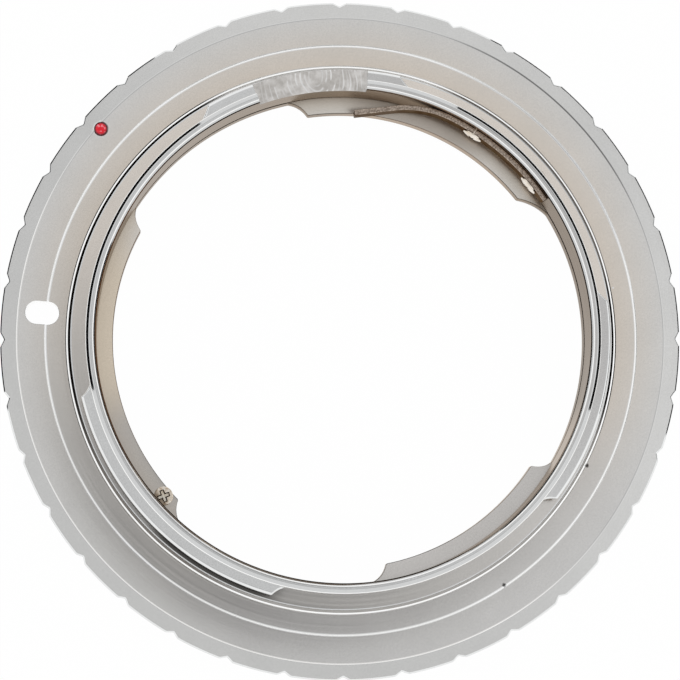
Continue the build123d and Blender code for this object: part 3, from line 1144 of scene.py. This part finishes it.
@dataclass
class LeafSpring:
    """Strip on edge in the bore: a foot under two screws, a curl and a straight tip."""

    mid_radius: float = 24.27
    foot: tuple[float, float] = (33.9, 63.7)
    curl_radius: float = 10.0
    curl_angle: float = 33.0
    tip_length: float = 4.0
    thickness: float = 0.5
    floor: float = 5.15
    top: float = 7.35
    edge: float = 0.09
    screw_angles: Point = SPRING_SCREW_ANGLES
    screw_level: float = SPRING_SCREW_LEVEL
    hole_radius: float = 0.55
    hole_reach: Point = (23.2, 25.0)
    hole_points: int = 32
    slit: float = 0.14
    slit_over: float = 0.4
    step: float = 0.3

    def path(self) -> list[tuple[Vector, Vector]]:
        """Points along the strip's middle, with the direction of the strip at each.

        Returns:
            Point and direction pairs, in millimetres, in plan.
        """
        rows = []
        start, end = (radians(a) for a in self.foot)
        for a in np.linspace(start, end, int((end - start) * self.mid_radius / self.step) + 1):
            rows.append((Vector((cos(a), sin(a))) * self.mid_radius, Vector((-sin(a), cos(a)))))
        point, heading = rows[-1]
        side = Vector((-heading.y, heading.x))
        centre = point + side * self.curl_radius
        turn = radians(self.curl_angle)
        for a in np.linspace(0, turn, int(turn * self.curl_radius / self.step) + 1)[1:]:
            spin = Matrix.Rotation(a, 2)
            rows.append((centre + spin @ (point - centre), spin @ heading))
        last, heading = rows[-1]
        for s in np.linspace(0, self.tip_length, int(self.tip_length / self.step) + 1)[1:]:
            rows.append((last + heading * s, heading))
        return rows

    def build(self) -> bpy.types.Object:
        """Sweep the rounded strip along its path and cut its screw holes.

        Returns:
            The strip.
        """
        half = self.thickness / 2
        corners = [(half, self.floor), (half, self.top), (-half, self.top), (-half, self.floor)]
        loop = [p for part in eased(corners, [self.edge] * 4, 3) for p in part]
        rings = []
        for point, heading in self.path():
            out = Vector((heading.y, -heading.x))
            rings.append([Vector((*(point + out * o), z)) * MM for o, z in loop])
        points, faces, _ = tube(rings)
        # Faces of the loop that lie along the sheared upper edge
        edge = range(5, 10)
        slots = [0 if k % len(loop) in edge else 1 for k in range(len(faces))]
        strip = new_object("leaf_strip", points, faces, slots)
        for angle in self.screw_angles:
            cut(strip, self.hole(angle, angle == max(self.screw_angles)))
        shade(strip, CREASE)
        return strip

    def hole(self, angle: float, open_to_edge: bool) -> bpy.types.Object:
        """Cutter of one screw hole.

        Args:
            angle: Where the screw is.
            open_to_edge: Whether a slit opens the hole to the strip's upper edge.

        Returns:
            The cutter.
        """
        turns = [2 * pi * k / self.hole_points for k in range(self.hole_points)]
        outline = [(self.hole_radius * cos(turn), self.hole_radius * sin(turn)) for turn in turns]
        if open_to_edge:
            side = self.slit / 2
            kept = [p for p in outline if not (p[1] > 0 and abs(p[0]) < side)]
            top = self.top - self.screw_level + self.slit_over
            first = next(i for i, p in enumerate(kept) if p[1] > 0 and p[0] < 0)
            outline = kept[:first] + [(side, top), (-side, top)] + kept[first:]
        across = polar(1, angle + 90) / MM
        rings = [
            [polar(r, angle, self.screw_level) + (across * u + Vector((0, 0, v))) * MM for u, v in outline]
            for r in self.hole_reach
        ]
        points, faces, _ = tube(rings)
        return new_object("hole", points, faces)

    def dress(self, strip: bpy.types.Object) -> None:
        """Give the strip its finish."""
        grain = (0.5, 0.5, 0.06)
        # A sheared edge is bright with dark specks, and the rolled face is an even brown grey
        sheared = RolledSteel("sheared_spring_steel_edge", "#CDBEB0", "#85766A", 0.3, grain, 0.18)
        rolled = RolledSteel("rolled_spring_steel", "#998C80", "#7B6D61", 0.3, grain, 0.9, "#85786B")
        for finish in (sheared, rolled):
            strip.data.materials.append(finish.material())


@dataclass
class CrossScrew:
    """Small screw with a low round head and a cross recess."""

    head_radius: float
    head_height: float
    shank: float
    end_dome: float
    shank_radius: float = 0.5
    head_edge: float = 0.12
    dome: float = 0.15
    cross_length: float = 1.34
    cross_width: float = 0.5
    cross_depth: float = 0.15
    cross_slope: float = 0.13
    cross_over: float = 0.1
    end_taper: Point = (0.72, 0.25)
    turn_steps: int = 48
    crease: float = 38.0

    def build(self, name: str, place: Matrix) -> bpy.types.Object:
        """Turn the screw and press its recess.

        Args:
            name: Name of the object.
            place: Where the underside of its head is, with +Z out of the head.

        Returns:
            The screw.
        """
        head = [
            (self.head_radius * float(t), self.head_height * (1 - self.dome * float(t) ** 2))
            for t in np.linspace(0.0, 1.0, 10)
        ]
        rim = eased([head[-2], head[-1], (self.head_radius, 0.0)], [0, self.head_edge, 0], 3)[1]
        section = head[:-1] + rim + [(self.head_radius, 0.0), (self.shank_radius, 0.0)]
        for across, along in ((1.0, 1.0), self.end_taper, (0.0, 0.0)):
            section.append((self.shank_radius * across, -self.shank + self.end_dome * along))
        points, faces = lathe(section, self.turn_steps)
        screw = new_object(name, points, faces)
        cut(screw, self.recess())
        shade(screw, self.crease)
        screw.data.transform(place)
        return screw

    def recess(self) -> bpy.types.Object:
        """Cutter of the cross: its floor takes the second finish and its walls the third."""
        arm, half = self.cross_length / 2, self.cross_width / 2
        rings = []
        for rise in (-self.cross_depth, self.cross_over):
            height = self.head_height + rise
            a, h = (size + rise / self.cross_depth * self.cross_slope for size in (arm, half))
            plan = [(a, -h), (a, h), (h, h), (h, a), (-h, a), (-h, h)]
            plan += [(-x, -y) for x, y in plan]
            rings.append([Vector((x, y, height)) * MM for x, y in plan])
        points, faces, slots = tube(rings, 2)
        return new_object("cross", points, faces, slots[:-2] + [1, 1])


@dataclass
class Screws:
    """The two screws of the leaf spring and the screw that stops the lens."""

    spring_angles: Point = SPRING_SCREW_ANGLES
    spring_turns: Point = (33.0, 12.0)
    spring_level: float = SPRING_SCREW_LEVEL
    spring_seat: float = 23.967
    spring_end: float = 25.88
    stop_at: Point = STOP_SCREW_AT
    stop_turn: float = 20.0
    stop_seat: float = 1.9
    stop_end: float = 0.12

    def build(self) -> tuple[list[bpy.types.Object], bpy.types.Object]:
        """Make the screws where they sit.

        Returns:
            The two spring screws, and the stop screw.
        """
        cross = {"cross_length": 0.78, "cross_width": 0.26, "cross_depth": 0.08, "cross_slope": 0.04}
        pattern = CrossScrew(1.05, 0.32, self.spring_end - self.spring_seat, 0.1, dome=0.6, **cross)
        spring = []
        for number, (angle, turn) in enumerate(zip(self.spring_angles, self.spring_turns), 1):
            inwards = -polar(1, angle) / MM
            facing = Vector((0, 0, 1)).rotation_difference(inwards).to_matrix().to_4x4()
            seat = Matrix.Translation(polar(self.spring_seat, angle, self.spring_level)) @ facing
            spring.append(pattern.build(f"spring_screw_{number}", seat @ Matrix.Rotation(radians(turn), 4, "Z")))
        stop = CrossScrew(0.95, 0.55, self.stop_seat - self.stop_end, 0.08, head_edge=0.2)
        seat = Matrix.Translation(polar(*self.stop_at, self.stop_seat))
        return spring, stop.build("stop_screw_head", seat @ Matrix.Rotation(radians(self.stop_turn), 4, "Z"))

    def dress(self, spring: list[bpy.types.Object], stop: bpy.types.Object) -> None:
        """Give the screws their finishes."""
        # Clean plated heads, a pressed floor that scatters the light, and painted shade on the walls of the cross
        steel = RolledSteel("plated_screw_steel", "#F7F0E6", "#DCCFBD", 0.2).material()
        brass = RolledSteel("aged_screw_brass", "#FCF5EA", "#D0BEA8", 0.16, patch=0.3).material()
        recess = RolledSteel("bright_pressed_recess", "#FFFDF6", "#FFF6E6", 0.8).material()
        shaded_wall_finish = RolledSteel("stained_recess_wall", "#5A4737", "#3A2D22", 0.4, patch=0.3, grazing="#8A7866")
        wall = shaded_wall_finish.material()
        for screw, head in [(screw, steel) for screw in spring] + [(stop, brass)]:
            for finish in (head, recess, wall):
                screw.data.materials.append(finish)


@dataclass
class IndexBead:
    """Red bead sunk in the flange, with the meniscus of a drop of enamel."""

    at: Point = BEAD_AT
    radius: float = 0.68
    floor: float = 2.5
    brim: float = 3.0
    crown: float = 0.14
    dimple: float = 0.05
    dimple_share: float = 0.45
    wall_gap: float = 0.1
    edge_drop: float = 0.06
    turn_steps: int = 48

    def build(self) -> bpy.types.Object:
        """Turn the bead.

        Returns:
            The bead.
        """
        section = [(0.0, self.floor), (self.radius, self.floor), (self.radius, self.brim - self.wall_gap)]
        for t in np.linspace(1.0, 0.0, 13):
            swell = self.crown * (1 - t**2) - self.dimple * max(0.0, 1 - (t / self.dimple_share) ** 2) ** 2
            section.append((self.radius * float(t), self.brim - self.edge_drop * float(t) ** 6 + float(swell)))
        points, faces = lathe(section, self.turn_steps)
        bead = new_object("enamel_bead", points, faces)
        bead.data.transform(Matrix.Translation(polar(*self.at)))
        shade(bead, CREASE)
        return bead

    def dress(self, bead: bpy.types.Object) -> None:
        """Give the bead its enamel."""
        centre = tuple(polar(*self.at, self.brim))
        bead.data.materials.append(Enamel(centre).material())


@dataclass(frozen=True)
class Panel:
    """Soft panel of light or shade on the dome, full within the first reach and gone at the second."""

    towards: tuple[float, float, float]
    full: float
    end: float
    gain: float


@dataclass
class Studio:
    """White table, soft dome of light with darker sides, and the camera."""

    camera_distance: float = 360.0
    lean_x: float = -3.05
    lean_y: float = -4.65
    roll: float = 0.3
    aim: tuple[float, float, float] = (-0.178, -0.128, 3.0)
    pixels_per_mm: float = 9.966
    frame_pixels: float = 680.0
    sensor: float = 36.0
    table_size: float = 1600.0
    table_drop: float = 0.004
    table_white: float = 0.985
    card_radius: float = 62.0
    card_foot: float = 0.3
    card_height: float = 14.0
    card_spans: tuple[Point, ...] = ((-14.0, 63.0), (121.0, 190.0))
    dome: float = 0.97
    panels: tuple[Panel, ...] = (
        Panel((0.0, 0.0, 1.0), 22.0, 42.0, -0.32),
        Panel((0.0, 0.0, 1.0), 1.5, 6.5, -0.5),
        Panel((0.72, -0.13, 0.68), 12.0, 46.0, 0.06),
        Panel((0.44, 0.42, 0.79), 9.0, 15.0, -0.5),
    )

    def camera(self) -> None:
        """Stand the camera over the ring as in the photograph."""
        back = Vector((tan(radians(self.lean_x)), tan(radians(self.lean_y)), 1)).normalized()
        right = Vector((0, 1, 0)).cross(back).normalized()
        data = bpy.data.cameras.new("camera")
        data.sensor_width = self.sensor
        data.lens = self.sensor * self.pixels_per_mm * self.camera_distance / self.frame_pixels
        data.clip_start = 0.01
        eye = bpy.data.objects.new("camera", data)
        upright = Matrix((right, back.cross(right), back)).transposed().to_4x4()
        stand = Matrix.Translation((Vector(self.aim) + back * self.camera_distance) * MM)
        eye.matrix_world = stand @ upright @ Matrix.Rotation(radians(-self.roll), 4, "Z")
        bpy.context.scene.collection.objects.link(eye)
        bpy.context.scene.camera = eye

    def table(self) -> None:
        """Lay the white table that the ring rests on."""
        half = self.table_size / 2 * MM
        corners = [(half * x, half * y, -self.table_drop * MM) for x, y in ((-1, -1), (1, -1), (1, 1), (-1, 1))]
        top = new_object("table", corners, [[0, 1, 2, 3]])
        # Matt paper that goes to white and keeps the ring's soft shadow
        dull = {"Roughness": 0.9, "Specular IOR Level": 0.0}
        paper = Surface("white_table_paper", {"Base Color": linear("#F6F6F6"), **dull})
        rays = paper.add("LightPath").outputs
        either = paper.add("Math", (rays["Is Camera Ray"], rays["Is Glossy Ray"]), operation="MAXIMUM")
        any_ray = paper.add("Math", (either, rays["Is Transmission Ray"]), operation="MAXIMUM")
        seen = paper.add("Math", (any_ray, self.table_white), operation="MULTIPLY")
        glow = paper.add("Emission", (linear(WHITE), 1.0))
        mixed = paper.add("MixShader", (seen, paper.shader, glow))
        feed(paper.tree.nodes["Material Output"], {"Surface": mixed})
        top.data.materials.append(paper.material)

    def cards(self) -> None:
        """Stand a dark card at each side, out of the picture, for the bright chamfers to mirror."""
        # Matt black paper, seen only as a dark line in bright metal
        dull = {"Roughness": 1.0, "Specular IOR Level": 0.0}
        paper = Surface("black_card", {"Base Color": linear("#101010"), **dull})
        for number, (start, end) in enumerate(self.card_spans, 1):
            sweep = np.linspace(start, end, 40)
            heights = (self.card_foot, self.card_height)
            points = [polar(self.card_radius, float(a), z) for a in sweep for z in heights]
            faces = [[2 * k, 2 * k + 2, 2 * k + 3, 2 * k + 1] for k in range(len(sweep) - 1)]
            card = new_object(f"card_{number}", points, faces)
            card.data.materials.append(paper.material)
            card.visible_camera = card.visible_diffuse = card.visible_shadow = card.visible_transmission = False

    def light(self) -> None:
        """Hang the dome: even white, darker straight above and at the upper right, lighter at the right."""
        world = bpy.data.worlds.new("studio")
        world.use_nodes = True
        bpy.context.scene.world = world
        tree = world.node_tree
        way = node(tree, "TexCoord").outputs["Generated"]
        unit = node(tree, "VectorMath", (way,), operation="NORMALIZE")
        glow: Feed = self.dome
        for panel in self.panels:
            middle = Vector(panel.towards).normalized()
            facing = node(tree, "VectorMath", (unit, middle), operation="DOT_PRODUCT")
            far, near = cos(radians(panel.end)), cos(radians(panel.full))
            mask = node(tree, "MapRange", (facing, far, near, 0.0, panel.gain), interpolation_type="SMOOTHSTEP")
            glow = node(tree, "Math", (glow, mask), operation="ADD")
        rays = node(tree, "LightPath").outputs
        white = node(tree, "Mix", {0: rays["Is Camera Ray"], 2: glow, 3: 1.0})
        feed(tree.nodes["Background"], {"Color": white})


def hand_over(piece: bpy.types.Object, body: str, replaced: Optional[str] = None) -> None:
    """Hand a rigid piece to the frame.

    Args:
        piece: Finished piece.
        body: Body that it rides on.
        replaced: CAD node that it stands for.
    """
    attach(piece, body)
    if replaced:
        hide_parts(replaced)
    LOG.info("%s: %d faces on %s", piece.name, len(piece.data.polygons), body)


def main() -> None:
    """Build the adapter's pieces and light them."""
    logging.basicConfig(level=logging.INFO, format="%(name)s: %(message)s")
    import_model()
    bpy.context.scene.view_settings.view_transform = "Standard"

    ring_body = RingBody()
    ring = ring_body.build()
    ring_body.dress(ring)
    hand_over(ring, "adapter", "adapter_body")

    leaf_spring = LeafSpring()
    strip = leaf_spring.build()
    leaf_spring.dress(strip)
    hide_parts("leaf_spring")
    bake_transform(strip)
    LOG.info("%s: %d faces between adapter and leaf", strip.name, len(strip.data.polygons))

    screws = Screws()
    spring, stop = screws.build()
    screws.dress(spring, stop)
    for screw in spring:
        hand_over(screw, "adapter", "spring_screws")
    hand_over(stop, "adapter", "stop_screw")

    index_bead = IndexBead()
    bead = index_bead.build()
    index_bead.dress(bead)
    hand_over(bead, "adapter", "index_bead")

    studio = Studio()
    studio.table()
    studio.cards()
    studio.light()
    studio.camera()


if __name__ == "__main__":
    main()
